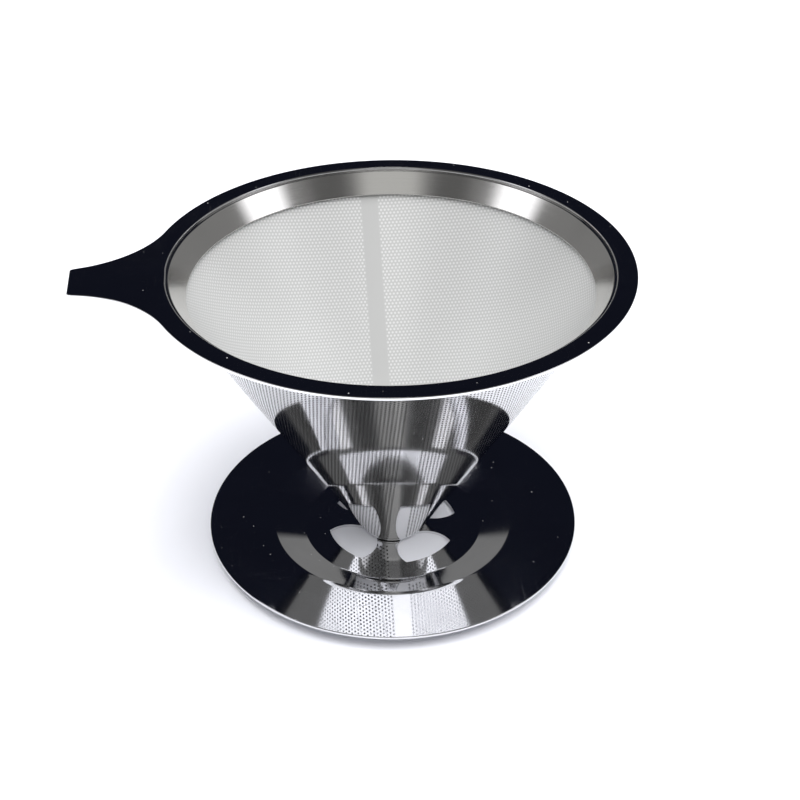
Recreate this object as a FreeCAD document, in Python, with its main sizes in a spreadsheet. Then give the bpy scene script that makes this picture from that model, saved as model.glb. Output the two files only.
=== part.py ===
"""Stainless pour over dripper: a double cone filter hung in a brim with a handle, on a drain stand.

Units are millimetres.  The origin is the middle of the stand's underside, +Z points up, and the
handle points along -X.  Every sub-part is a body whose sketches and features read the sheet "dims".
"""
import FreeCAD
import Part
import Sketcher
import math
import os

DRIVING = {
    "rim_dia": 125.0,
    "total_high": 85.7,
    "plate_thk": 0.8,
    "brim_hole_dia": 114.4,
    "brim_round": 0.5,
    "handle_reach": 81.2,
    "handle_wide": 13.3,
    "handle_arc": 30.0,
    "collar_thk": 0.5,
    "collar_wall": 0.4,
    "collar_top_dia": 113.0,
    "collar_foot_dia": 104.6,
    "collar_foot_high": 79.3,
    "hidden_flange_dia": 120.0,
    "cone_top_dia": 108.0,
    "cone_half_angle": 30.0,
    "outer_wall": 0.3,
    "cone_gap": 0.1,
    "mesh_wall": 0.3,
    "mesh_top_high": 82.0,
    "outer_top_high": 84.2,
    "cone_foot_high": 1.5,
    "ring_thk": 0.6,
    "skirt_wall": 0.5,
    "skirt_foot_high": 81.4,
    "weld_gap": 0.1,
    "foot_ring_dia": 18.0,
    "foot_ring_hole_dia": 10.8,
    "foot_ring_thk": 0.4,
    "cap_dia": 14.6,
    "cap_thk": 0.6,
    "cap_boss_dia": 10.0,
    "rivet_dia": 5.0,
    "rivet_head_dia": 8.0,
    "rivet_head_thk": 0.6,
    "stand_dia": 104.2,
    "stand_high": 4.8,
    "stand_thk": 0.8,
    "stand_mouth_dia": 70.0,
    "floor_dia": 49.8,
    "floor_bend": 2.0,
    "mouth_bend": 6.0,
    "drain_reach": 15.3,
    "drain_dia": 15.8,
    "drain_limit_dia": 36.8,
    "drain_count": 4,
    "drain_turn": 30.0,
}

BRIM_UNDERSIDE = "dims.total_high - dims.plate_thk"
FLANGE_UNDERSIDE = BRIM_UNDERSIDE + " - dims.collar_thk"
RING_UNDERSIDE = FLANGE_UNDERSIDE + " - dims.ring_thk"
FOOT_RING_UNDERSIDE = "dims.cone_foot_high - dims.foot_ring_thk"
CAP_TOP = "dims.cone_foot_high + dims.cap_thk"
FLANGE_LOWER_FACE = "dims.stand_high - dims.stand_thk"
TOUCHING = 1e-4


def make_sheet(doc):
    """The driving dimensions, one alias to a row."""
    sheet = doc.addObject("Spreadsheet::Sheet", "dims")
    for row, (alias, value) in enumerate(DRIVING.items(), start=1):
        sheet.set("A%d" % row, alias)
        sheet.set("B%d" % row, str(value))
        sheet.setAlias("B%d" % row, alias)
    doc.recompute()
    return sheet


def half(alias):
    """The radius that belongs to a diameter in the sheet."""
    return "dims.%s / 2" % alias


def cone_radius(high, inset="0"):
    """Radius of the outer cone's outside at a height, less a radial inset."""
    drop = "(dims.collar_foot_high - (%s)) * tan(dims.cone_half_angle * 1 deg)" % high
    return "dims.cone_top_dia / 2 - %s - (%s)" % (drop, inset)


def origin_plane(body, role):
    """A body's own origin plane, such as XZ_Plane."""
    return next(item for item in body.Origin.OriginFeatures if item.Role == role)


def new_body(doc, label):
    """An empty body whose label is the node's name."""
    body = doc.addObject("PartDesign::Body", label)
    body.Label = label
    body.Placement = FreeCAD.Placement()
    return body


def new_sketch(body, name, role):
    """A sketch lying flat on one of the body's origin planes."""
    sketch = body.newObject("Sketcher::SketchObject", name)
    sketch.AttachmentSupport = (origin_plane(body, role), [""])
    sketch.MapMode = "FlatFace"
    return sketch


def bind(sketch, constraint, expression):
    """Add a dimension to a sketch and drive it from the sheet."""
    index = sketch.addConstraint(constraint)
    sketch.setExpression("Constraints[%d]" % index, expression)


def draw_outline(sketch, corners):
    """A closed outline of straight lines through corners given as (across, up) expressions."""
    count = len(corners)
    turns = [2 * math.pi * i / count for i in range(count)]
    start = [FreeCAD.Vector(40 + 30 * math.cos(turn), 40 + 30 * math.sin(turn), 0) for turn in turns]
    for i in range(count):
        sketch.addGeometry(Part.LineSegment(start[i], start[(i + 1) % count]), False)
    for i in range(count):
        sketch.addConstraint(Sketcher.Constraint("Coincident", i, 2, (i + 1) % count, 1))
    for i, (across, up) in enumerate(corners):
        bind(sketch, Sketcher.Constraint("DistanceX", -1, 1, i, 1, start[i].x), across)
        bind(sketch, Sketcher.Constraint("DistanceY", -1, 1, i, 1, start[i].y), up)


def turn_body(doc, label, corners):
    """A body turned about Z from an outline of (radius, height) corners."""
    body = new_body(doc, label)
    sketch = new_sketch(body, label + "_outline", "XZ_Plane")
    draw_outline(sketch, corners)
    turned = body.newObject("PartDesign::Revolution", label + "_turned")
    turned.Profile = sketch
    turned.ReferenceAxis = (sketch, ["V_Axis"])
    turned.Angle = 360.0
    sketch.Visibility = False
    doc.recompute()
    return body


def ring_edges(shape, radius, high):
    """Names of the circular edges about Z at a radius and a height."""
    names = []
    for index, edge in enumerate(shape.Edges, start=1):
        curve = edge.Curve
        if not isinstance(curve, Part.Circle):
            continue
        centre = curve.Center
        on_axis = math.hypot(centre.x, centre.y) < TOUCHING
        if on_axis and abs(curve.Radius - radius) < TOUCHING and abs(centre.z - high) < TOUCHING:
            names.append("Edge%d" % index)
    return names


def round_edges(doc, body, name, edges, size_alias):
    """Fillet a body's edges with a radius from the sheet."""
    shape = body.Tip
    fillet = body.newObject("PartDesign::Fillet", name)
    fillet.Base = (shape, edges)
    fillet.setExpression("Radius", "dims." + size_alias)
    doc.recompute()
    body.Tip = fillet
    return fillet


def make_rim_plate(doc):
    """The flat brim and its handle, one stamped plate."""
    rim = DRIVING["rim_dia"] / 2
    reach = DRIVING["handle_reach"]
    half_wide = DRIVING["handle_wide"] / 2
    arc = DRIVING["handle_arc"]

    span = math.hypot(reach, half_wide)
    along = ((rim + arc) ** 2 - arc ** 2 + span ** 2) / (2 * span)
    aside = math.sqrt((rim + arc) ** 2 - along ** 2)
    centre_x = (along * reach - aside * half_wide) / span
    centre_y = (along * half_wide + aside * reach) / span
    bearing = math.atan2(centre_y, centre_x)
    tip_bearing = math.atan2(centre_y - half_wide, centre_x - reach)

    body = new_body(doc, "rim_plate")
    sketch = new_sketch(body, "rim_plate_outline", "XY_Plane")
    up = FreeCAD.Vector(0, 0, 1)
    middle = FreeCAD.Vector(0, 0, 0)
    brim = Part.ArcOfCircle(Part.Circle(middle, up, rim), math.pi + bearing, 3 * math.pi - bearing)
    upper = Part.ArcOfCircle(
        Part.Circle(FreeCAD.Vector(-centre_x, centre_y, 0), up, arc), -tip_bearing, -bearing
    )
    lower = Part.ArcOfCircle(
        Part.Circle(FreeCAD.Vector(-centre_x, -centre_y, 0), up, arc), bearing, tip_bearing
    )
    tip = Part.LineSegment(
        FreeCAD.Vector(-reach, -half_wide, 0), FreeCAD.Vector(-reach, half_wide, 0)
    )
    sketch.addGeometry([brim, upper, lower, tip], False)
    sketch.addConstraint(Sketcher.Constraint("Coincident", 0, 3, -1, 1))
    sketch.addConstraint(Sketcher.Constraint("Tangent", 0, 2, 1, 2))
    sketch.addConstraint(Sketcher.Constraint("Tangent", 0, 1, 2, 1))
    sketch.addConstraint(Sketcher.Constraint("Coincident", 1, 1, 3, 2))
    sketch.addConstraint(Sketcher.Constraint("Coincident", 2, 2, 3, 1))
    sketch.addConstraint(Sketcher.Constraint("Vertical", 3))
    bind(sketch, Sketcher.Constraint("Radius", 0, rim), half("rim_dia"))
    bind(sketch, Sketcher.Constraint("Radius", 1, arc), "dims.handle_arc")
    bind(sketch, Sketcher.Constraint("Radius", 2, arc), "dims.handle_arc")
    bind(sketch, Sketcher.Constraint("DistanceX", -1, 1, 3, 1, -reach), "-dims.handle_reach")
    bind(sketch, Sketcher.Constraint("DistanceY", -1, 1, 3, 1, -half_wide), "-dims.handle_wide / 2")
    bind(sketch, Sketcher.Constraint("DistanceY", -1, 1, 3, 2, half_wide), "dims.handle_wide / 2")

    hole = sketch.addGeometry(Part.Circle(middle, up, DRIVING["brim_hole_dia"] / 2), False)
    sketch.addConstraint(Sketcher.Constraint("Coincident", hole, 3, -1, 1))
    bind(sketch, Sketcher.Constraint("Radius", hole, DRIVING["brim_hole_dia"] / 2), half("brim_hole_dia"))
    sketch.setExpression("AttachmentOffset.Base.z", BRIM_UNDERSIDE)

    plate = body.newObject("PartDesign::Pad", "rim_plate_sheet")
    plate.Profile = sketch
    plate.setExpression("Length", "dims.plate_thk")
    sketch.Visibility = False
    doc.recompute()

    top = DRIVING["total_high"]
    lip = ring_edges(body.Shape, DRIVING["brim_hole_dia"] / 2, top)
    round_edges(doc, body, "rim_plate_lip", lip, "brim_round")
    return body


def make_collar_band(doc):
    """Polished funnel inside the brim, with a flange trapped under it."""
    foot = "dims.collar_foot_high"
    slope = "(dims.collar_top_dia - dims.collar_foot_dia) / 2 / (%s - %s)" % (BRIM_UNDERSIDE, foot)
    crease = "dims.collar_foot_dia / 2 + dims.collar_wall + %s * (%s - %s)" % (slope, FLANGE_UNDERSIDE, foot)
    return turn_body(doc, "collar_band", [
        (half("collar_foot_dia"), foot),
        ("dims.collar_foot_dia / 2 + dims.collar_wall", foot),
        (crease, FLANGE_UNDERSIDE),
        (half("hidden_flange_dia"), FLANGE_UNDERSIDE),
        (half("hidden_flange_dia"), BRIM_UNDERSIDE),
        (half("collar_top_dia"), BRIM_UNDERSIDE),
    ])


def cone_shell(doc, label, top, inset, wall):
    """A conical shell that follows the cone's outside at a radial inset."""
    foot = "dims.cone_foot_high"
    inner = "%s + %s" % (inset, wall)
    return turn_body(doc, label, [
        (cone_radius(foot, inner), foot),
        (cone_radius(foot, inset), foot),
        (cone_radius(top, inset), top),
        (cone_radius(top, inner), top),
    ])


def make_mesh_cone(doc):
    """Fine woven filter, the inner of the two cones."""
    inset = "dims.outer_wall + dims.cone_gap"
    return cone_shell(doc, "mesh_cone", "dims.mesh_top_high", inset, "dims.mesh_wall")


def make_outer_cone(doc):
    """Sheet cone around the filter."""
    return cone_shell(doc, "outer_cone", "dims.outer_top_high", "0", "dims.outer_wall")


def make_under_rim_ring(doc):
    """Ring under the brim, with a skirt that hugs the outer cone."""
    skirt = "dims.skirt_foot_high"
    inner = "-dims.weld_gap"
    outer = "-dims.weld_gap - dims.skirt_wall"
    return turn_body(doc, "under_rim_ring", [
        (cone_radius(skirt, inner), skirt),
        (cone_radius(skirt, outer), skirt),
        (cone_radius(RING_UNDERSIDE, outer), RING_UNDERSIDE),
        (half("hidden_flange_dia"), RING_UNDERSIDE),
        (half("hidden_flange_dia"), FLANGE_UNDERSIDE),
        (cone_radius(FLANGE_UNDERSIDE, inner), FLANGE_UNDERSIDE),
    ])


def make_foot_ring(doc):
    """Flat ring that closes the feet of both cones."""
    return turn_body(doc, "foot_ring", [
        (half("foot_ring_hole_dia"), FOOT_RING_UNDERSIDE),
        (half("foot_ring_dia"), FOOT_RING_UNDERSIDE),
        (half("foot_ring_dia"), "dims.cone_foot_high"),
        (half("foot_ring_hole_dia"), "dims.cone_foot_high"),
    ])


def make_bottom_cap(doc):
    """Disc that closes the filter, with a boss that stands on the floor of the stand."""
    bore = "dims.rivet_dia / 2 + dims.weld_gap"
    return turn_body(doc, "bottom_cap", [
        (bore, "dims.stand_thk"),
        (half("cap_boss_dia"), "dims.stand_thk"),
        (half("cap_boss_dia"), "dims.cone_foot_high"),
        (half("cap_dia"), "dims.cone_foot_high"),
        (half("cap_dia"), CAP_TOP),
        (bore, CAP_TOP),
    ])


def make_centre_rivet(doc):
    """Rivet that holds the cones to the stand, flush below."""
    head_top = CAP_TOP + " + dims.rivet_head_thk"
    crown = CAP_TOP + " + dims.rivet_head_thk / 2"
    return turn_body(doc, "centre_rivet", [
        ("0", "0"),
        (half("rivet_dia"), "0"),
        (half("rivet_dia"), CAP_TOP),
        (half("rivet_head_dia"), CAP_TOP),
        (half("rivet_head_dia"), crown),
        ("dims.rivet_head_dia / 2 - dims.rivet_head_thk", head_top),
        ("0", head_top),
    ])


def cut_drains(doc, body):
    """Pointed drain openings in the floor, repeated about Z."""
    reach = DRIVING["drain_reach"]
    hole = DRIVING["drain_dia"] / 2
    limit = DRIVING["drain_limit_dia"] / 2
    corner_x = (limit ** 2 + reach ** 2 - hole ** 2) / (2 * reach)
    corner_y = math.sqrt(limit ** 2 - corner_x ** 2)
    far_bearing = math.atan2(corner_y, corner_x)
    near_bearing = math.atan2(corner_y, corner_x - reach)
    up = FreeCAD.Vector(0, 0, 1)

    sketch = new_sketch(body, "drain_outline", "XY_Plane")
    far = Part.ArcOfCircle(Part.Circle(FreeCAD.Vector(0, 0, 0), up, limit), -far_bearing, far_bearing)
    near = Part.ArcOfCircle(
        Part.Circle(FreeCAD.Vector(reach, 0, 0), up, hole), near_bearing, 2 * math.pi - near_bearing
    )
    sketch.addGeometry([far, near], False)
    sketch.addConstraint(Sketcher.Constraint("Coincident", 0, 3, -1, 1))
    sketch.addConstraint(Sketcher.Constraint("PointOnObject", 1, 3, -1))
    sketch.addConstraint(Sketcher.Constraint("Coincident", 0, 2, 1, 1))
    sketch.addConstraint(Sketcher.Constraint("Coincident", 0, 1, 1, 2))
    bind(sketch, Sketcher.Constraint("DistanceX", -1, 1, 1, 3, reach), "dims.drain_reach")
    bind(sketch, Sketcher.Constraint("Radius", 0, limit), half("drain_limit_dia"))
    bind(sketch, Sketcher.Constraint("Radius", 1, hole), half("drain_dia"))
    sketch.setExpression("AttachmentOffset.Rotation.Angle", "dims.drain_turn * 1 deg")

    before = body.Shape.Volume
    pocket = body.newObject("PartDesign::Pocket", "drain")
    pocket.Profile = sketch
    pocket.Reversed = True
    pocket.setExpression("Length", "dims.stand_high")
    sketch.Visibility = False
    doc.recompute()
    if not pocket.Shape.Volume < before:
        raise RuntimeError("the drain pocket cuts nothing")

    pattern = body.newObject("PartDesign::PolarPattern", "drains")
    pattern.Originals = [pocket]
    pattern.Axis = (origin_plane(body, "Z_Axis"), [""])
    pattern.Angle = 360.0
    pattern.setExpression("Occurrences", "dims.drain_count")
    body.Tip = pattern
    doc.recompute()


def make_stand_plate(doc):
    """Flange, dished floor and drain openings, pressed from one disc."""
    bore = "dims.rivet_dia / 2 + dims.weld_gap"
    body = turn_body(doc, "stand_plate", [
        (bore, "0"),
        (half("floor_dia"), "0"),
        (half("stand_mouth_dia"), FLANGE_LOWER_FACE),
        (half("stand_dia"), FLANGE_LOWER_FACE),
        (half("stand_dia"), "dims.stand_high"),
        (half("stand_mouth_dia"), "dims.stand_high"),
        (half("floor_dia"), "dims.stand_thk"),
        (bore, "dims.stand_thk"),
    ])
    floor = DRIVING["floor_dia"] / 2
    mouth = DRIVING["stand_mouth_dia"] / 2
    thk = DRIVING["stand_thk"]
    high = DRIVING["stand_high"]
    for name, radius, low, top, alias in (
        ("floor_bend", floor, 0.0, thk, "floor_bend"),
        ("mouth_bend", mouth, high - thk, high, "mouth_bend"),
    ):
        edges = ring_edges(body.Shape, radius, low) + ring_edges(body.Shape, radius, top)
        round_edges(doc, body, "stand_" + name, edges, alias)
    cut_drains(doc, body)
    return body


def check_and_export(doc):
    """Stop on any bad feature or shape, then write one STEP file to a node."""
    for item in doc.Objects:
        if "Invalid" in item.State or "Error" in item.State:
            raise RuntimeError("%s is %s" % (item.Label, item.State))
    os.makedirs("parts", exist_ok=True)
    for body in doc.Objects:
        if body.TypeId != "PartDesign::Body":
            continue
        shape = body.Shape
        if shape.isNull() or not shape.isValid() or len(shape.Solids) != 1:
            raise RuntimeError("%s has no single valid solid" % body.Label)
        shape.exportStep("parts/%s.step" % body.Label)
        box = shape.BoundBox
        print("%-16s %9.1f mm3  z %.2f to %.2f" % (body.Label, shape.Volume, box.ZMin, box.ZMax))


def main():
    doc = FreeCAD.newDocument("pour_over_dripper")
    make_sheet(doc)
    make_rim_plate(doc)
    make_collar_band(doc)
    make_under_rim_ring(doc)
    make_mesh_cone(doc)
    make_outer_cone(doc)
    make_foot_ring(doc)
    make_bottom_cap(doc)
    make_centre_rivet(doc)
    make_stand_plate(doc)
    doc.recompute()
    check_and_export(doc)


main()
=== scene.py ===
"""Looks for the pour over dripper: polished sheet, real perforation and a soft studio.

Lengths are metres.  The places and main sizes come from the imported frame; the finer sizes below
are the ones that the frame's boxes do not give.
"""

import bpy
import math
import numpy as np
from mathutils import Matrix, Vector


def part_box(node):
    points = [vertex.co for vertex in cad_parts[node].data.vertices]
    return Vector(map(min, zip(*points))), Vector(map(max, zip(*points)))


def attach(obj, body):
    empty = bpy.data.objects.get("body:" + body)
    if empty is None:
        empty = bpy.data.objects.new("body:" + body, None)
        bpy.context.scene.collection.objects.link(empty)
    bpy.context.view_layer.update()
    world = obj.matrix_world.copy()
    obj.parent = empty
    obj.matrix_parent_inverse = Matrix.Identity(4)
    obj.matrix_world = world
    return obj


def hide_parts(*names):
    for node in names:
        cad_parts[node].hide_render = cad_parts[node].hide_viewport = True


MM = 0.001
SEGMENTS = 288

# Sheet work
EDGE = 0.22 * MM
LIP = 0.45 * MM
BRIM_HOLE = 57.2 * MM
HANDLE_ARC = 30.0 * MM
HANDLE_HALF = 6.65 * MM
HANDLE_CORNER = 0.9 * MM
COLLAR_TOP = 56.5 * MM
COLLAR_WALL = 0.4 * MM
COLLAR_FLANGE = 0.5 * MM
STAND_MOUTH = 35.0 * MM
STAND_FLOOR = 24.9 * MM
FLOOR_BEND = 2.0 * MM
MOUTH_BEND = 6.0 * MM
RIVET_BORE = 2.6 * MM
RIVET_SHANK = 2.5 * MM
CAP_BOSS = 5.0 * MM
SKIRT_WALL = 0.5 * MM
RING_FLANGE = 0.6 * MM
STAND_THK = 0.8 * MM
FOOT_RING_BORE = 5.4 * MM

# Drain openings
DRAIN_REACH = 15.3 * MM
DRAIN_RADIUS = 7.9 * MM
DRAIN_LIMIT = 18.4 * MM
DRAIN_COUNT = 4
DRAIN_TURN = math.radians(30.0)

# Perforated sheet, cut flat and rolled into the cone
HALF_ANGLE = math.radians(30.0)
PITCH = 1.08 * MM
HOLE_RADIUS = 0.29 * MM
HOLE_SIDES = 8
SHEET_THK = 0.28 * MM
PLAIN_STRIP = 2.5 * MM
PLAIN_BORDER = 0.9 * MM
CONE_PIECES = 8
CLOTH_THK = 0.12 * MM
CLOTH_INSET = 0.45 * MM

CONE_TOP_RADIUS = 54.0 * MM
COLLAR_FOOT = 52.3 * MM

# Camera and stage
CAMERA_AT = Vector((-36.6, -311.9, 254.7)) * MM
CAMERA_TURN = math.radians(-6.7)
CAMERA_PITCH = math.radians(33.969)
CAMERA_ROLL = math.radians(-0.398)
CAMERA_LENS = 62.63
CAMERA_SHIFT = 0.010
FLOOR_SIZE = 6.0
SOFTBOX_AT = (0.25, -0.5, 3.2)
SOFTBOX_AIM = (0, 0, 0.05)
SOFTBOX_SIZE = 4.0
SOFTBOX_POWER = 255.0

# Tones of the cloth: painted light over a hole, its own tone where it lies on the sheet, and painted shade on
# its back
CLOTH_PAINTED_LIGHT = (0.97, 0.975, 0.97)
CLOTH_COLOUR = (0.74, 0.745, 0.74)
# painted shade: the cloth's back, in the narrow gap against the sheet, is coloured near black
CLOTH_BACK_PAINTED_SHADE = (0.05, 0.05, 0.052)
CLOTH_COVER = 0.72

# The studio that the polish reflects.  Bearings, in degrees, run from straight behind the object as the
# camera sees it towards the right.  The layout is the same on the left as on the right.
ROOM_GREY = (0.20, 0.20, 0.20)
CEILING_GREY = (0.07, 0.07, 0.07)
FLOOR_COLOUR = (0.84, 0.86, 0.92)
DARK_CARD = (0.006, 0.007, 0.013)
WINDOW = (1.6, 1.6, 1.65)
DIM_WALL = (0.10, 0.10, 0.10)
PALE_WALL = (0.50, 0.50, 0.49)
CEILING_PANEL = (2.0, 2.0, 2.0)
# colour, bearing, elevation, half width, half height, soft edge
STUDIO_PANELS = [
    (DARK_CARD, 0, 39, 60, 18, 3),
    (WINDOW, -100, 40, 12, 12, 8),
    (WINDOW, 100, 40, 12, 12, 8),
    (DIM_WALL, -140, 35, 12, 20, 10),
    (DIM_WALL, 140, 35, 12, 20, 10),
    (PALE_WALL, 180, 40, 20, 20, 10),
    (CEILING_PANEL, 0, 80, 20, 4, 3),
]

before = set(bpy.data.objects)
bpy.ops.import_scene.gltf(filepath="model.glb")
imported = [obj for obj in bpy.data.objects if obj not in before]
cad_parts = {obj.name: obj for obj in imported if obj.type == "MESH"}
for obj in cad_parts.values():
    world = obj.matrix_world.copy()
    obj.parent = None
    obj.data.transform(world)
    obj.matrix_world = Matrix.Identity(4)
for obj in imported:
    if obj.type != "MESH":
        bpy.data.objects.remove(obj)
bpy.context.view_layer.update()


def span(node):
    """Lowest and highest corner of a CAD node."""
    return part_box(node)


# The cone is 54 mm in radius at the collar's foot, which fixes the height of its apex
APEX = span("collar_band")[0].z - CONE_TOP_RADIUS / math.tan(HALF_ANGLE)


# ---------------------------------------------------------------- meshes


def new_piece(name, verts, faces, corner_normals, nodes, material):
    """A mesh that stands for CAD nodes, with its own normals, riding on the body."""
    mesh = bpy.data.meshes.new(name)
    mesh.from_pydata(verts, [], faces)
    mesh.shade_smooth()
    mesh.normals_split_custom_set(corner_normals)
    for item in material if isinstance(material, list) else [material]:
        mesh.materials.append(item)
    piece = bpy.data.objects.new(name, mesh)
    bpy.context.scene.collection.objects.link(piece)
    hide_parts(*nodes)
    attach(piece, "root")
    return piece


def rounded(corners, steps=5):
    """A closed (radius, height) outline with its corners rounded, and the outward normal at each point.

    Corners run anticlockwise, with the radius across and the height up, as (radius, height, rounding).
    """
    points = []
    normals = []
    count = len(corners)
    for i in range(count):
        before = np.array(corners[i - 1][:2])
        here = np.array(corners[i][:2])
        after = np.array(corners[(i + 1) % count][:2])
        size = corners[i][2]
        into = (here - before) / np.linalg.norm(here - before)
        out = (after - here) / np.linalg.norm(after - here)
        turn = math.atan2(into[0] * out[1] - into[1] * out[0], into @ out)
        sign = 1.0 if turn > 0 else -1.0
        into_normal = np.array([into[1], -into[0]])
        reach = size * math.tan(abs(turn) / 2)
        centre = here - into * reach - into_normal * size * sign
        for step in range(steps + 1):
            angle = turn * step / steps
            c, s = math.cos(angle), math.sin(angle)
            normal = np.array([[c, -s], [s, c]]) @ into_normal
            points.append(centre + normal * size * sign)
            normals.append(normal)
    return np.array(points), np.array(normals)


def lathe(name, corners, nodes, material, steps=5, segments=SEGMENTS):
    """A ring turned about Z from a rounded outline."""
    points, normals = rounded(corners, steps)
    rows = len(points)
    turns = np.arange(segments) * 2 * math.pi / segments
    c, s = np.cos(turns)[:, None], np.sin(turns)[:, None]
    verts, around = (
        np.stack([values[:, 0] * c, values[:, 0] * s, np.broadcast_to(values[:, 1], (segments, rows))], 2)
        for values in (points, normals)
    )
    i, j = np.meshgrid(np.arange(segments), np.arange(rows), indexing="ij")
    i2, j2 = (i + 1) % segments, (j + 1) % rows
    faces = np.stack([i * rows + j, i2 * rows + j, i2 * rows + j2, i * rows + j2], 2).reshape(-1, 4)
    corner_normals = around.reshape(-1, 3)[faces.reshape(-1)]
    return new_piece(
        name, verts.reshape(-1, 3).tolist(), faces.tolist(), corner_normals.tolist(), nodes, material
    )


def cone_radius(high, inset=0.0):
    """Radius of the outer cone's outside at a height, less a radial inset."""
    return (high - APEX) * math.tan(HALF_ANGLE) - inset


# ---------------------------------------------------------------- materials


def node_material(name):
    """A material with only its output and one Principled shader."""
    material = bpy.data.materials.new(name)
    material.use_nodes = True
    tree = material.node_tree
    tree.nodes.clear()
    shader = tree.nodes.new("ShaderNodeBsdfPrincipled")
    output = tree.nodes.new("ShaderNodeOutputMaterial")
    tree.links.new(shader.outputs["BSDF"], output.inputs["Surface"])
    return material, tree, shader


def noise(tree, vector, scale, detail=3.0):
    node = tree.nodes.new("ShaderNodeTexNoise")
    node.inputs["Scale"].default_value = scale
    node.inputs["Detail"].default_value = detail
    node.inputs["Roughness"].default_value = 0.5
    tree.links.new(vector, node.inputs["Vector"])
    return node.outputs["Fac"]


def ramp(tree, value, low, high, start, end):
    """value, mapped from start..end to low..high and held there."""
    node = tree.nodes.new("ShaderNodeMapRange")
    node.inputs["From Min"].default_value = start
    node.inputs["From Max"].default_value = end
    node.inputs["To Min"].default_value = low
    node.inputs["To Max"].default_value = high
    tree.links.new(value, node.inputs["Value"])
    return node.outputs["Result"]


def math_node(tree, operation, first, second):
    node = tree.nodes.new("ShaderNodeMath")
    node.operation = operation
    for socket, value in zip(node.inputs, (first, second)):
        if isinstance(value, (int, float)):
            socket.default_value = value
        else:
            tree.links.new(value, socket)
    return node.outputs["Value"]


def stretched(tree, scale, turn=(0, 0, 0)):
    """Object coordinates, stretched so that a pattern reads as brushing."""
    coords = tree.nodes.new("ShaderNodeTexCoord")
    mapping = tree.nodes.new("ShaderNodeMapping")
    mapping.inputs["Scale"].default_value = scale
    mapping.inputs["Rotation"].default_value = turn
    tree.links.new(coords.outputs["Object"], mapping.inputs["Vector"])
    return mapping.outputs["Vector"]


def bump(tree, shader, value, depth, strength=1.0):
    node = tree.nodes.new("ShaderNodeBump")
    node.inputs["Strength"].default_value = strength
    node.inputs["Distance"].default_value = depth
    tree.links.new(value, node.inputs["Height"])
    tree.links.new(node.outputs["Normal"], shader.inputs["Normal"])


def polished_steel(name, colour=(0.80, 0.80, 0.81), rough=(0.03, 0.09), specks=True):
    """Mirror polish with hairline scratches, cloudy wiping marks and a few dust specks."""
    material, tree, shader = node_material(name)
    shader.inputs["Metallic"].default_value = 1.0
    even = stretched(tree, (1, 1, 1))
    clouds = noise(tree, even, 45.0, 4.0)
    hair_a = noise(tree, stretched(tree, (1, 34, 34), (0, 0, 0.35)), 90.0, 2.0)
    hair_b = noise(tree, stretched(tree, (30, 1, 30), (0, 0, -0.5)), 80.0, 2.0)
    hairs = [ramp(tree, hair, 0, 1, 0.62, 0.74) for hair in (hair_a, hair_b)]
    hair = math_node(tree, "MAXIMUM", *hairs)
    base = ramp(tree, clouds, rough[0], rough[1], 0.35, 0.65)
    worn = math_node(tree, "MULTIPLY_ADD", hair, 0.08)
    worn.node.inputs[2].default_value = 0.0
    tree.links.new(math_node(tree, "ADD", base, worn), shader.inputs["Roughness"])
    tone = tree.nodes.new("ShaderNodeMix")
    tone.data_type = "RGBA"
    tone.inputs["A"].default_value = (*colour, 1)
    tone.inputs["B"].default_value = (*(c * 0.93 for c in colour), 1)
    tree.links.new(ramp(tree, noise(tree, even, 120.0), 0, 1, 0.3, 0.7), tone.inputs["Factor"])
    tree.links.new(tone.outputs["Result"], shader.inputs["Base Color"])
    if specks:
        dots = tree.nodes.new("ShaderNodeTexVoronoi")
        dots.inputs["Scale"].default_value = 260.0
        tree.links.new(even, dots.inputs["Vector"])
        speck = ramp(tree, dots.outputs["Distance"], 1, 0, 0.03, 0.055)
        tree.links.new(ramp(tree, speck, 1.0, 0.35, 0, 1), shader.inputs["Metallic"])
    bump(tree, shader, hair, 0.002 * MM, 0.25)
    return material


def turned_steel():
    """Polished collar with fine lines left by turning."""
    material, tree, shader = node_material("collar_steel")
    shader.inputs["Base Color"].default_value = (0.83, 0.82, 0.80, 1)
    shader.inputs["Metallic"].default_value = 1.0
    lines = noise(tree, stretched(tree, (1, 1, 900)), 12.0, 3.0)
    clouds = noise(tree, stretched(tree, (1, 1, 1)), 60.0)
    line_rough = ramp(tree, lines, 0.08, 0.16, 0.3, 0.7)
    cloud_rough = ramp(tree, clouds, 0.0, 0.05, 0.3, 0.7)
    rough = math_node(tree, "ADD", line_rough, cloud_rough)
    tree.links.new(rough, shader.inputs["Roughness"])
    bump(tree, shader, lines, 0.003 * MM, 0.3)
    return material


def wrapped(tree, value, half):
    """value, brought into -half..half by whole periods."""
    result = math_node(tree, "WRAP", value, half)
    result.node.inputs[2].default_value = -half
    return result


def hypotenuse(tree, first, second):
    squares = [math_node(tree, "MULTIPLY", side, side) for side in (first, second)]
    return math_node(tree, "SQRT", math_node(tree, "ADD", *squares), 0.0)


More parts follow.
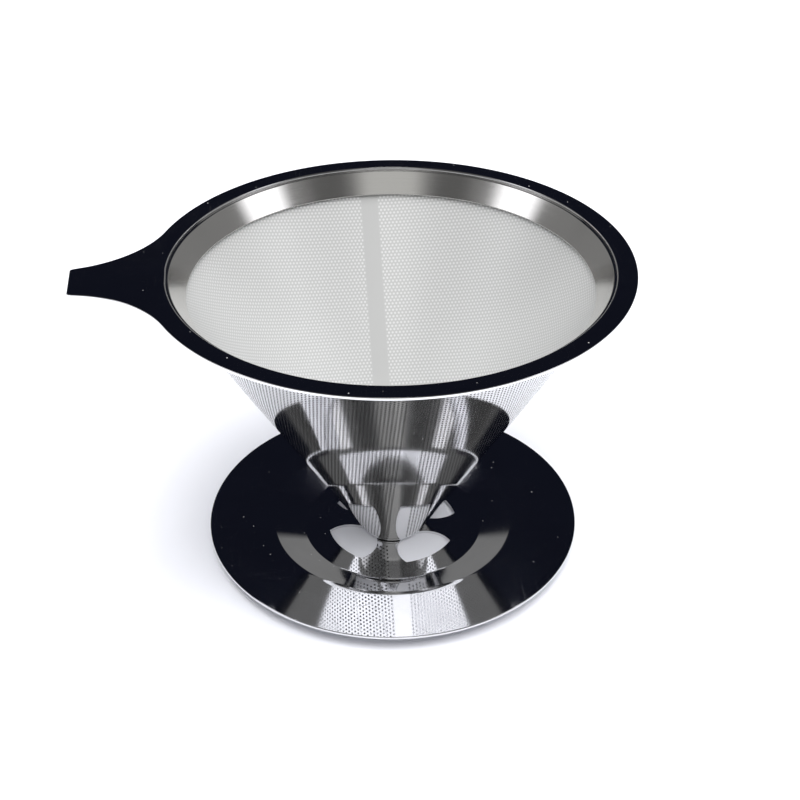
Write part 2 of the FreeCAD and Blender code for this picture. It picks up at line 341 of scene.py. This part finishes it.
def hole_distance(tree):
    """Distances on the flat pattern: to the middle of the nearest hole, and in from the two plain strips."""
    coords = tree.nodes.new("ShaderNodeTexCoord").outputs["Object"]
    split = tree.nodes.new("ShaderNodeSeparateXYZ")
    tree.links.new(coords, split.inputs["Vector"])
    x, y, z = split.outputs["X"], split.outputs["Y"], split.outputs["Z"]
    radius = hypotenuse(tree, x, y)
    slant = math_node(
        tree,
        "ADD",
        math_node(tree, "MULTIPLY", radius, math.sin(HALF_ANGLE)),
        math_node(tree, "MULTIPLY", math_node(tree, "SUBTRACT", z, APEX), math.cos(HALF_ANGLE)),
    )
    turn = math_node(tree, "ARCTAN2", math_node(tree, "MULTIPLY", x, -1.0), y)
    turn = math_node(tree, "MULTIPLY", turn, math.sin(HALF_ANGLE))
    flat_x = math_node(tree, "MULTIPLY", slant, math_node(tree, "COSINE", turn, 0.0))
    flat_y = math_node(tree, "MULTIPLY", slant, math_node(tree, "SINE", turn, 0.0))
    row = PITCH * math.sqrt(3) / 2
    nearest = None
    for shift_x, shift_y in ((0.0, 0.0), (row, PITCH / 2)):
        across = wrapped(tree, math_node(tree, "SUBTRACT", flat_x, shift_x), row)
        along = wrapped(tree, math_node(tree, "SUBTRACT", flat_y, shift_y), PITCH / 2)
        away = hypotenuse(tree, across, along)
        nearest = away if nearest is None else math_node(tree, "MINIMUM", nearest, away)
    beside = math_node(tree, "MINIMUM", math_node(tree, "ABSOLUTE", flat_y, 0.0), flat_x)
    return nearest, beside


def cloth_face(name):
    """One face of the woven cloth, a little uneven in its weave."""
    material, tree, shader = node_material(name)
    shader.inputs["Alpha"].default_value = CLOTH_COVER
    weave = noise(tree, stretched(tree, (1, 1, 12)), 900.0, 1.0)
    bump(tree, shader, weave, 0.01 * MM, 0.4)
    return material, tree, shader


def filter_cloth():
    """Fine woven steel cloth: pale where it faces the coffee, with painted light over the holes behind it and
    painted shade on its back.
    """
    front, tree, shader = cloth_face("woven_mesh")
    nearest, beside = hole_distance(tree)
    # painted light: the cloth is coloured near white over each hole of the sheet, standing in for light
    # coming through the holes
    painted_light_mask = ramp(tree, nearest, 1, 0, HOLE_RADIUS * 0.7, HOLE_RADIUS * 1.5)
    painted_light_mask = math_node(tree, "MULTIPLY", painted_light_mask, ramp(tree, beside, 0, 1, PLAIN_STRIP * 0.9, PLAIN_STRIP * 1.1))
    tree.links.new(layer(tree, CLOTH_COLOUR, CLOTH_PAINTED_LIGHT, painted_light_mask), shader.inputs["Base Color"])
    shader.inputs["Metallic"].default_value = 0.3
    shader.inputs["Roughness"].default_value = 0.32
    back, tree, shader = cloth_face("woven_mesh_back")
    # painted shade: the back face is coloured near black for the shade in the gap between cloth and sheet
    shader.inputs["Base Color"].default_value = (*CLOTH_BACK_PAINTED_SHADE, 1)
    shader.inputs["Metallic"].default_value = 0.6
    shader.inputs["Roughness"].default_value = 0.42
    return [front, back]


def perforated_steel():
    """The rolled sheet around the cloth."""
    material, tree, shader = node_material("perforated_steel")
    shader.inputs["Base Color"].default_value = (0.80, 0.80, 0.805, 1)
    shader.inputs["Metallic"].default_value = 1.0
    clouds = noise(tree, stretched(tree, (1, 1, 1)), 40.0)
    tree.links.new(ramp(tree, clouds, 0.03, 0.08, 0.35, 0.65), shader.inputs["Roughness"])
    return material


# ---------------------------------------------------------------- brim and handle


def handle_outline(rim, reach, half_wide, arc, corner, samples):
    """Points and outward normals of the brim with its handle, anticlockwise from the -Y side."""
    far = math.hypot(reach, half_wide)
    along = ((rim + arc) ** 2 - arc**2 + far**2) / (2 * far)
    aside = math.sqrt((rim + arc) ** 2 - along**2)
    cx = (along * reach - aside * half_wide) / far
    cy = (along * half_wide + aside * reach) / far
    bearing = math.atan2(cy, cx)
    tip_bearing = math.atan2(cy - half_wide, cx - reach)
    points = []
    normals = []
    for i in range(samples):
        angle = -(math.pi - bearing) + i * 2 * (math.pi - bearing) / samples
        points.append((rim * math.cos(angle), rim * math.sin(angle)))
        normals.append((math.cos(angle), math.sin(angle)))
    upper = []
    steps = samples // 8
    for i in range(steps + 1):
        angle = bearing + (tip_bearing - bearing) * i / steps
        x, y = cx - arc * math.cos(angle), cy - arc * math.sin(angle)
        if x < reach - corner:
            upper.append(((-x, y), (-math.cos(angle), math.sin(angle))))
    for i in range(9):
        angle = math.pi / 2 * (1 + i / 8)
        x = -(reach - corner) + corner * math.cos(angle)
        y = half_wide - corner + corner * math.sin(angle)
        upper.append(((x, y), (math.cos(angle), math.sin(angle))))
    lower = [((p[0], -p[1]), (n[0], -n[1])) for p, n in reversed(upper)]
    for point, normal in upper + lower:
        points.append(point)
        normals.append(normal)
    return np.array(points), np.array(normals)


def make_rim_plate(material):
    """Brim and handle, with a rounded lip round the hole and eased edges outside."""
    low, high = span("rim_plate")
    outline, outward = handle_outline(high.x, -low.x, HANDLE_HALF, HANDLE_ARC, HANDLE_CORNER, 400)
    angles = np.arctan2(outline[:, 1], outline[:, 0])
    ring = np.stack([np.cos(angles), np.sin(angles)], 1)
    inner = ring * BRIM_HOLE
    foot = 0.1 * MM
    steps = 6
    quarter = [math.pi / 2 * step / steps for step in range(steps + 1)]
    turns = [(math.sin(angle), math.cos(angle)) for angle in quarter]
    rows = [(outline, outward, EDGE * (s - 1), high.z + EDGE * (c - 1), s, c) for s, c in turns]
    rows += [(outline, outward, EDGE * (c - 1), low.z + EDGE * (1 - s), c, -s) for s, c in turns]
    rows += [(inner, -ring, foot * (s - 1), low.z + foot * (1 - c), s, -c) for s, c in turns]
    rows += [(inner, -ring, LIP * (c - 1), high.z + LIP * (s - 1), c, s) for s, c in turns]
    count = len(outline)
    verts = []
    vert_normals = []
    for base, side, offset, z, flat, up in rows:
        place = base + side * offset
        verts.append(np.column_stack([place, np.full(count, z)]))
        vert_normals.append(np.column_stack([side * flat, np.full(count, up)]))
    verts = np.concatenate(verts)
    vert_normals = np.concatenate(vert_normals)
    faces = []
    total = len(rows)
    for r in range(total):
        r2 = (r + 1) % total
        for i in range(count):
            i2 = (i + 1) % count
            faces.append((r * count + i, r2 * count + i, r2 * count + i2, r * count + i2))
    corner_normals = vert_normals[np.array(faces).reshape(-1)]
    return new_piece(
        "rim_plate_polished",
        verts.tolist(),
        faces,
        corner_normals.tolist(),
        ["rim_plate"],
        material,
    )


# ---------------------------------------------------------------- stand


def drain_edges(angle):
    """Radii at which a bearing enters and leaves a drain opening, and whether it meets one."""
    sector = 2 * math.pi / DRAIN_COUNT
    off = (angle - DRAIN_TURN + sector / 2) % sector - sector / 2
    grazing = math.asin(DRAIN_RADIUS / DRAIN_REACH)
    if abs(off) >= grazing - 1e-9:
        tangent = math.sqrt(DRAIN_REACH**2 - DRAIN_RADIUS**2)
        return tangent, tangent, False
    middle = DRAIN_REACH * math.cos(off)
    half_chord = math.sqrt(max(DRAIN_RADIUS**2 - (DRAIN_REACH * math.sin(off)) ** 2, 0.0))
    return middle - half_chord, min(middle + half_chord, DRAIN_LIMIT), True


def drain_bearings():
    """Bearings of the stand's columns, with every corner of the drain openings among them."""
    grazing = math.asin(DRAIN_RADIUS / DRAIN_REACH)
    corner = math.acos((DRAIN_LIMIT**2 + DRAIN_REACH**2 - DRAIN_RADIUS**2) / (2 * DRAIN_LIMIT * DRAIN_REACH))
    bearings = []
    for hole in range(DRAIN_COUNT):
        middle = DRAIN_TURN + hole * 2 * math.pi / DRAIN_COUNT
        sector = math.pi / DRAIN_COUNT
        near = [grazing * math.sin(math.pi / 2 * i / 10) for i in range(11)]
        past_corner = {round(side * a, 9) for side in (-1, 1) for a in near if a > corner}
        offsets = sorted(set(np.round(np.linspace(-corner, corner, 41), 9)) | past_corner)
        offsets += [grazing + (2 * sector - 2 * grazing) * i / 12 for i in range(1, 12)]
        bearings += [middle + off for off in offsets]
    return np.array(bearings)


def make_stand(material):
    low, high = span("stand_plate")
    thk = STAND_THK
    outer = high.x
    top, floor_top = high.z, low.z + thk
    outline, normals = rounded(
        [
            (DRAIN_LIMIT + 1 * MM, low.z, 0),
            (STAND_FLOOR, low.z, FLOOR_BEND),
            (STAND_MOUTH, top - thk, MOUTH_BEND),
            (outer, top - thk, EDGE),
            (outer, top, EDGE),
            (STAND_MOUTH, top, MOUTH_BEND),
            (STAND_FLOOR, floor_top, FLOOR_BEND),
            (DRAIN_LIMIT + 1 * MM, floor_top, 0),
        ],
        12,
    )
    keep = slice(13, len(outline) - 13)
    outline, normals = outline[keep], normals[keep]
    bearings = drain_bearings()
    count = len(bearings)
    edges = [drain_edges(b) for b in bearings]
    near = np.array([e[0] for e in edges])
    far = np.array([e[1] for e in edges])
    open_here = [e[2] for e in edges]
    c, s = np.cos(bearings), np.sin(bearings)

    verts = []
    faces = []
    face_normals = []
    index = {}

    def vertex(x, y, z):
        key = (round(x * 1e8), round(y * 1e8), round(z * 1e8))
        if key not in index:
            index[key] = len(verts)
            verts.append((x, y, z))
        return index[key]

    def add(corners, normal_list):
        ids = [vertex(*p) for p in corners]
        kept = [(v, n) for k, (v, n) in enumerate(zip(ids, normal_list)) if v not in ids[:k]]
        if len(kept) >= 3:
            faces.append([v for v, _ in kept])
            face_normals.extend(n for _, n in kept)

    def at(i, radius, z):
        return (radius * c[i], radius * s[i], z)

    up, down = (0, 0, 1), (0, 0, -1)
    bore = np.full(count, RIVET_BORE)
    for i in range(count):
        j = (i + 1) % count
        shares = np.linspace(0, 1, 5)
        for a, b in zip(shares[:-1], shares[1:]):
            for start, end in ((bore, near), (far, np.full(count, outline[0][0]))):
                r = [start[k] + (end[k] - start[k]) * share for k, share in ((i, a), (i, b), (j, b), (j, a))]
                quad = [at(k, radius, floor_top) for k, radius in zip((i, i, j, j), r)]
                add(quad, [up] * 4)
                under = [(x, y, low.z) for x, y, _ in reversed(quad)]
                add(under, [down] * 4)
        inward = [(-c[k], -s[k], 0) for k in (i, j)]
        add(
            [
                at(i, bore[i], low.z),
                at(i, bore[i], floor_top),
                at(j, bore[j], floor_top),
                at(j, bore[j], low.z),
            ],
            [inward[0], inward[0], inward[1], inward[1]],
        )
        if open_here[i] or open_here[j]:
            sector = 2 * math.pi / DRAIN_COUNT
            hole = round(((bearings[i] + bearings[j]) / 2 - DRAIN_TURN) / sector)
            middle = DRAIN_TURN + hole * sector
            centre = np.array([math.cos(middle), math.sin(middle)]) * DRAIN_REACH
            for radii, towards_axis in ((near, False), (far, True)):
                ends = []
                for k in (i, j):
                    p = np.array([radii[k] * c[k], radii[k] * s[k]])
                    n = centre - p
                    limited = towards_axis and radii[i] > DRAIN_LIMIT - 1e-7 and radii[j] > DRAIN_LIMIT - 1e-7
                    if limited:
                        n = -p
                    ends.append(n / np.linalg.norm(n))
                n_i, n_j = [(n[0], n[1], 0) for n in ends]
                wall = [
                    at(i, radii[i], low.z),
                    at(j, radii[j], low.z),
                    at(j, radii[j], floor_top),
                    at(i, radii[i], floor_top),
                ]
                wall_normals = [n_i, n_j, n_j, n_i]
                if towards_axis:
                    wall.reverse()
                    wall_normals.reverse()
                add(wall, wall_normals)
        for k in range(len(outline) - 1):
            (r1, z1), (r2, z2) = outline[k], outline[k + 1]
            (a1, b1), (a2, b2) = normals[k], normals[k + 1]
            add(
                [at(i, r1, z1), at(j, r1, z1), at(j, r2, z2), at(i, r2, z2)],
                [
                    (a1 * c[i], a1 * s[i], b1),
                    (a1 * c[j], a1 * s[j], b1),
                    (a2 * c[j], a2 * s[j], b2),
                    (a2 * c[i], a2 * s[i], b2),
                ],
            )
    return new_piece(
        "stand_plate_polished", verts, faces, face_normals, ["stand_plate"], material
    )


# ---------------------------------------------------------------- perforated cone


def hole_cell():
    """Flat pattern of one cell: points of the hexagon and of the hole, and the triangles between them."""
    hexagon = [k * math.pi / 3 for k in range(6)]
    hole = [math.pi / HOLE_SIDES + k * 2 * math.pi / HOLE_SIDES for k in range(HOLE_SIDES)]
    triangles = []
    i, j = 0, 0
    while i < 6 or j < HOLE_SIDES:
        next_hex = hexagon[i % 6] + (2 * math.pi if i >= 6 else 0) + math.pi / 3
        next_hole = hole[j % HOLE_SIDES] + (2 * math.pi if j >= HOLE_SIDES else 0) + 2 * math.pi / HOLE_SIDES
        if j >= HOLE_SIDES or (i < 6 and next_hex <= next_hole):
            triangles.append((("x", i % 6), ("x", (i + 1) % 6), ("o", j % HOLE_SIDES)))
            i += 1
        else:
            triangles.append((("x", i % 6), ("o", (j + 1) % HOLE_SIDES), ("o", j % HOLE_SIDES)))
            j += 1
    return hexagon, hole, triangles


def make_outer_cone(material):
    """The rolled sheet with a hole in every lattice cell, in wedges that share zigzag seams."""
    low, high = span("outer_cone")
    s_low = cone_radius(low.z) / math.sin(HALF_ANGLE)
    s_high = cone_radius(high.z) / math.sin(HALF_ANGLE)
    row = PITCH * math.sqrt(3) / 2
    corner = PITCH / math.sqrt(3)
    hexagon, hole, triangles = hole_cell()
    hex_x, hex_y = np.cos(hexagon) * corner, np.sin(hexagon) * corner
    hole_x, hole_y = np.cos(hole) * HOLE_RADIUS, np.sin(hole) * HOLE_RADIUS

    wedges = [dict(flat=[], faces=[], index={}, rims=[]) for _ in range(CONE_PIECES)]

    def clamp(x, y):
        x = max(x, 0.0)
        s = math.hypot(x, y)
        held = min(max(s, s_low), s_high)
        return x * held / s, y * held / s

    def point(wedge, x, y, fixed=False):
        if not fixed:
            x, y = clamp(x, y)
        key = (round(x * 1e8), round(y * 1e8))
        if key not in wedge["index"]:
            wedge["index"][key] = len(wedge["flat"])
            wedge["flat"].append((x, y))
        return wedge["index"][key]

    rows = int(s_high / row) + 2
    for i in range(-1, rows):
        x = i * row
        columns = int(s_high / PITCH) + 2
        for j in range(-columns, columns + 1):
            y = (j + 0.5 * (i % 2)) * PITCH
            s = math.hypot(x, y)
            if s > s_high + corner or s < s_low - corner:
                continue
            xs, ys = x + hex_x, y + hex_y
            if xs.max() <= 1e-9:
                continue
            bearing = math.atan2(y, max(x, 0.0))
            wedge = wedges[min(int((bearing / math.pi + 0.5) * CONE_PIECES), CONE_PIECES - 1)]
            ids = [point(wedge, a, b) for a, b in zip(xs, ys)]
            pierced = (
                s_low + PLAIN_BORDER < s < s_high - PLAIN_BORDER and abs(y) > PLAIN_STRIP and x > PLAIN_STRIP
            )
            if pierced:
                rim = [point(wedge, x + a, y + b, True) for a, b in zip(hole_x, hole_y)]
                for tri in triangles:
                    wedge["faces"].append([ids[k] if kind == "x" else rim[k] for kind, k in tri])
                wedge["rims"].append(rim)
            else:
                unique = [v for k, v in enumerate(ids) if v not in ids[:k]]
                if len(unique) >= 3:
                    wedge["faces"].append(unique)

    for number, wedge in enumerate(wedges, start=1):
        build_wedge(number, wedge, material)


def build_wedge(number, wedge, material):
    """Rolls one flat wedge into the cone, with both faces, hole walls and closed sides."""
    flat = np.array(wedge["flat"])
    s = np.hypot(flat[:, 0], flat[:, 1])
    around = math.pi / 2 + np.arctan2(flat[:, 1], flat[:, 0]) / math.sin(HALF_ANGLE)
    ca, sa = np.cos(around), np.sin(around)
    sin_h, cos_h = math.sin(HALF_ANGLE), math.cos(HALF_ANGLE)
    outside = np.stack([s * sin_h * ca, s * sin_h * sa, APEX + s * cos_h], 1)
    normal = np.stack([cos_h * ca, cos_h * sa, np.full(len(s), -sin_h)], 1)
    inside = outside - normal * SHEET_THK
    count = len(flat)
    verts = np.concatenate([outside, inside])

    faces = []
    corner_normals = []
    edge_use = {}
    for face in wedge["faces"]:
        # anticlockwise in the flat pattern faces the cone's inside once rolled
        turned = face[::-1]
        faces.append(turned)
        corner_normals.append(normal[turned])
        faces.append([v + count for v in face])
        corner_normals.append(-normal[face])
        for a, b in zip(face, face[1:] + face[:1]):
            edge_use[(a, b)] = True
    rim_edges = set()
    for rim in wedge["rims"]:
        centre = outside[rim].mean(0)
        for k in range(len(rim)):
            a, b = rim[k], rim[(k + 1) % len(rim)]
            rim_edges.add((a, b))
            rim_edges.add((b, a))
            n_a = centre - outside[a]
            n_b = centre - outside[b]
            n_a = n_a / np.linalg.norm(n_a)
            n_b = n_b / np.linalg.norm(n_b)
            faces.append([a + count, b + count, b, a])
            corner_normals.append(np.array([n_a, n_b, n_b, n_a]))
    for a, b in edge_use:
        if (b, a) in edge_use or (a, b) in rim_edges:
            continue
        side = np.cross(normal[a], outside[b] - outside[a])
        side = side / np.linalg.norm(side)
        faces.append([b + count, a + count, a, b])
        corner_normals.append(np.array([side] * 4))
    corner_normals = np.concatenate(corner_normals)
    new_piece(
        "outer_cone_wedge_%d" % number,
        verts.tolist(),
        faces,
        corner_normals.tolist(),
        ["outer_cone"],
        material,
    )


# ---------------------------------------------------------------- turned pieces


def make_mesh_cone(material):
    low, high = span("mesh_cone")
    inset = CLOTH_INSET
    wall = CLOTH_THK / math.cos(HALF_ANGLE)
    fine = 0.02 * MM
    cloth = lathe(
        "mesh_cone_cloth",
        [
            (cone_radius(low.z, inset), low.z, fine),
            (cone_radius(high.z, inset), high.z, fine),
            (cone_radius(high.z, inset + wall), high.z, fine),
            (cone_radius(low.z, inset + wall), low.z, fine),
        ],
        ["mesh_cone"],
        material,
        2,
    )
    for face in cloth.data.polygons:
        middle = face.center
        outwards = face.normal.x * middle.x + face.normal.y * middle.y > 0
        face.material_index = 1 if outwards else 0
    return cloth


def make_collar(material):
    low, high = span("collar_band")
    foot = COLLAR_FOOT
    slope = (COLLAR_TOP - foot) / (high.z - low.z)
    under = high.z - COLLAR_FLANGE
    crease = foot + COLLAR_WALL + slope * (under - low.z)
    flange = high.x
    return lathe(
        "collar_band_polished",
        [
            (foot, low.z, 0.15 * MM),
            (foot + COLLAR_WALL, low.z, 0.1 * MM),
            (crease, under, 0.1 * MM),
            (flange, under, 0.1 * MM),
            (flange, high.z, 0.1 * MM),
            (COLLAR_TOP, high.z, 0.35 * MM),
        ],
        ["collar_band"],
        material,
        8,
    )


def make_under_rim_ring(material):
    low, high = span("under_rim_ring")
    gap = -0.1 * MM
    outer = gap - SKIRT_WALL
    flange_low = high.z - RING_FLANGE
    fine = 0.1 * MM
    return lathe(
        "under_rim_ring_polished",
        [
            (cone_radius(low.z, gap), low.z, fine),
            (cone_radius(low.z, outer), low.z, 0.2 * MM),
            (cone_radius(flange_low, outer), flange_low, 0.3 * MM),
            (high.x, flange_low, 0.2 * MM),
            (high.x, high.z, fine),
            (cone_radius(high.z, gap), high.z, fine),
        ],
        ["under_rim_ring"],
        material,
    )


def make_foot(material):
    low, high = span("foot_ring")
    round_size = 0.15 * MM
    lathe(
        "foot_ring_polished",
        [
            (FOOT_RING_BORE, low.z, round_size),
            (high.x, low.z, round_size),
            (high.x, high.z, round_size),
            (FOOT_RING_BORE, high.z, round_size),
        ],
        ["foot_ring"],
        material,
    )
    low, high = span("bottom_cap")
    step_z = span("outer_cone")[0].z
    lathe(
        "bottom_cap_polished",
        [
            (RIVET_BORE, low.z, 0.05 * MM),
            (CAP_BOSS, low.z, 0.2 * MM),
            (CAP_BOSS, step_z, 0.1 * MM),
            (high.x, step_z, 0.1 * MM),
            (high.x, high.z, 0.2 * MM),
            (RIVET_BORE, high.z, 0.05 * MM),
        ],
        ["bottom_cap"],
        material,
    )
    low, high = span("centre_rivet")
    head = high.x
    seat = high.z - 0.6 * MM
    tiny = 0.01 * MM
    lathe(
        "centre_rivet_polished",
        [
            (tiny, low.z, 0),
            (RIVET_SHANK, low.z, 0.1 * MM),
            (RIVET_SHANK, seat, 0.05 * MM),
            (head, seat, 0.1 * MM),
            (head, seat + 0.3 * MM, 0.12 * MM),
            (head - 0.6 * MM, high.z, 0.4 * MM),
            (tiny, high.z, 0),
        ],
        ["centre_rivet"],
        material,
    )


# ---------------------------------------------------------------- studio


def layer(tree, under, colour, mask):
    """colour over what is under it, where the mask is 1."""
    mix = tree.nodes.new("ShaderNodeMix")
    mix.data_type = "RGBA"
    for socket, value in zip((mix.inputs[6], mix.inputs[7]), (under, colour)):
        if isinstance(value, tuple):
            socket.default_value = (*value, 1)
        else:
            tree.links.new(value, socket)
    tree.links.new(mask, mix.inputs["Factor"])
    return mix.outputs[2]


def band(tree, angle, middle, half_width, soft):
    """1 within half_width of the middle of an angle, fading to 0 over the soft edge."""
    away = math_node(tree, "ABSOLUTE", math_node(tree, "SUBTRACT", angle, middle), 0.0)
    return ramp(tree, away, 1, 0, half_width - soft / 2, half_width + soft / 2)


def degrees(tree, kind, *values):
    """An inverse trigonometric node's angle in degrees."""
    return math_node(tree, "MULTIPLY", math_node(tree, kind, *values), math.degrees(1))


def make_world():
    """A plain grey studio: a dark card behind, a window on each side and a soft panel overhead."""
    world = bpy.data.worlds.new("studio")
    bpy.context.scene.world = world
    world.use_nodes = True
    tree = world.node_tree
    tree.nodes.clear()
    coords = tree.nodes.new("ShaderNodeTexCoord").outputs["Generated"]
    split = tree.nodes.new("ShaderNodeSeparateXYZ")
    tree.links.new(coords, split.inputs["Vector"])
    elevation = degrees(tree, "ARCSINE", split.outputs["Z"], 0.0)
    bearing = degrees(tree, "ARCTAN2", split.outputs["X"], split.outputs["Y"])
    bearing = math_node(tree, "ADD", bearing, math.degrees(CAMERA_TURN))
    room = layer(tree, ROOM_GREY, CEILING_GREY, ramp(tree, elevation, 0, 1, 50, 62))
    for colour, middle, high, half_width, half_height, soft in STUDIO_PANELS:
        turned = math_node(tree, "WRAP", bearing, middle + 180)
        turned.node.inputs[2].default_value = middle - 180
        across = band(tree, turned, middle, half_width, soft)
        upwards = band(tree, elevation, high, half_height, soft)
        room = layer(tree, room, colour, math_node(tree, "MULTIPLY", across, upwards))
    room = layer(tree, FLOOR_COLOUR, room, ramp(tree, elevation, 0, 1, -2, 1))
    background = tree.nodes.new("ShaderNodeBackground")
    output = tree.nodes.new("ShaderNodeOutputWorld")
    tree.links.new(room, background.inputs["Color"])
    tree.links.new(background.outputs["Background"], output.inputs["Surface"])


def area_light(name, place, target, size, power):
    """A square lamp of the given side, aimed at the target."""
    data = bpy.data.lights.new(name, "AREA")
    data.shape = "SQUARE"
    data.size = size
    data.energy = power
    lamp = bpy.data.objects.new(name, data)
    lamp.location = place
    lamp.rotation_euler = (Vector(target) - Vector(place)).to_track_quat("-Z", "Y").to_euler()
    bpy.context.scene.collection.objects.link(lamp)
    return lamp


def make_stage():
    """Pale floor under the stand."""
    half = FLOOR_SIZE / 2
    mesh = bpy.data.meshes.new("studio_floor")
    z = -0.05 * MM
    corners = [(-half, -half, z), (half, -half, z), (half, half, z), (-half, half, z)]
    mesh.from_pydata(corners, [], [(0, 1, 2, 3)])
    material, _, shader = node_material("pale_floor")
    shader.inputs["Base Color"].default_value = (0.87, 0.88, 0.93, 1)
    shader.inputs["Roughness"].default_value = 0.8
    shader.inputs["Specular IOR Level"].default_value = 0.1
    mesh.materials.append(material)
    floor = bpy.data.objects.new("studio_floor", mesh)
    bpy.context.scene.collection.objects.link(floor)


def make_camera():
    data = bpy.data.cameras.new("camera")
    data.lens = CAMERA_LENS
    data.sensor_width = 36.0
    data.shift_x = CAMERA_SHIFT
    data.clip_start = 0.01
    camera = bpy.data.objects.new("camera", data)
    turn = Matrix.Rotation(CAMERA_TURN, 3, "Z")
    forward = turn @ Vector((0, math.cos(CAMERA_PITCH), -math.sin(CAMERA_PITCH)))
    up = turn @ Vector((0, math.sin(CAMERA_PITCH), math.cos(CAMERA_PITCH)))
    right = turn @ Vector((1, 0, 0))
    c, s = math.cos(CAMERA_ROLL), math.sin(CAMERA_ROLL)
    x_axis = right * c + up * s
    y_axis = up * c - right * s
    basis = Matrix((x_axis, y_axis, -forward)).transposed()
    camera.matrix_world = Matrix.Translation(CAMERA_AT) @ basis.to_4x4()
    bpy.context.scene.collection.objects.link(camera)
    bpy.context.scene.camera = camera


polish = polished_steel("polished_steel")
make_rim_plate(polish)
make_collar(turned_steel())
make_under_rim_ring(polish)
make_mesh_cone(filter_cloth())
make_outer_cone(perforated_steel())
make_foot(polish)
make_stand(polish)

make_world()
softbox = area_light("overhead", SOFTBOX_AT, SOFTBOX_AIM, SOFTBOX_SIZE, SOFTBOX_POWER)
softbox.visible_glossy = False
make_stage()
make_camera()
bpy.context.scene.view_settings.view_transform = "Standard"
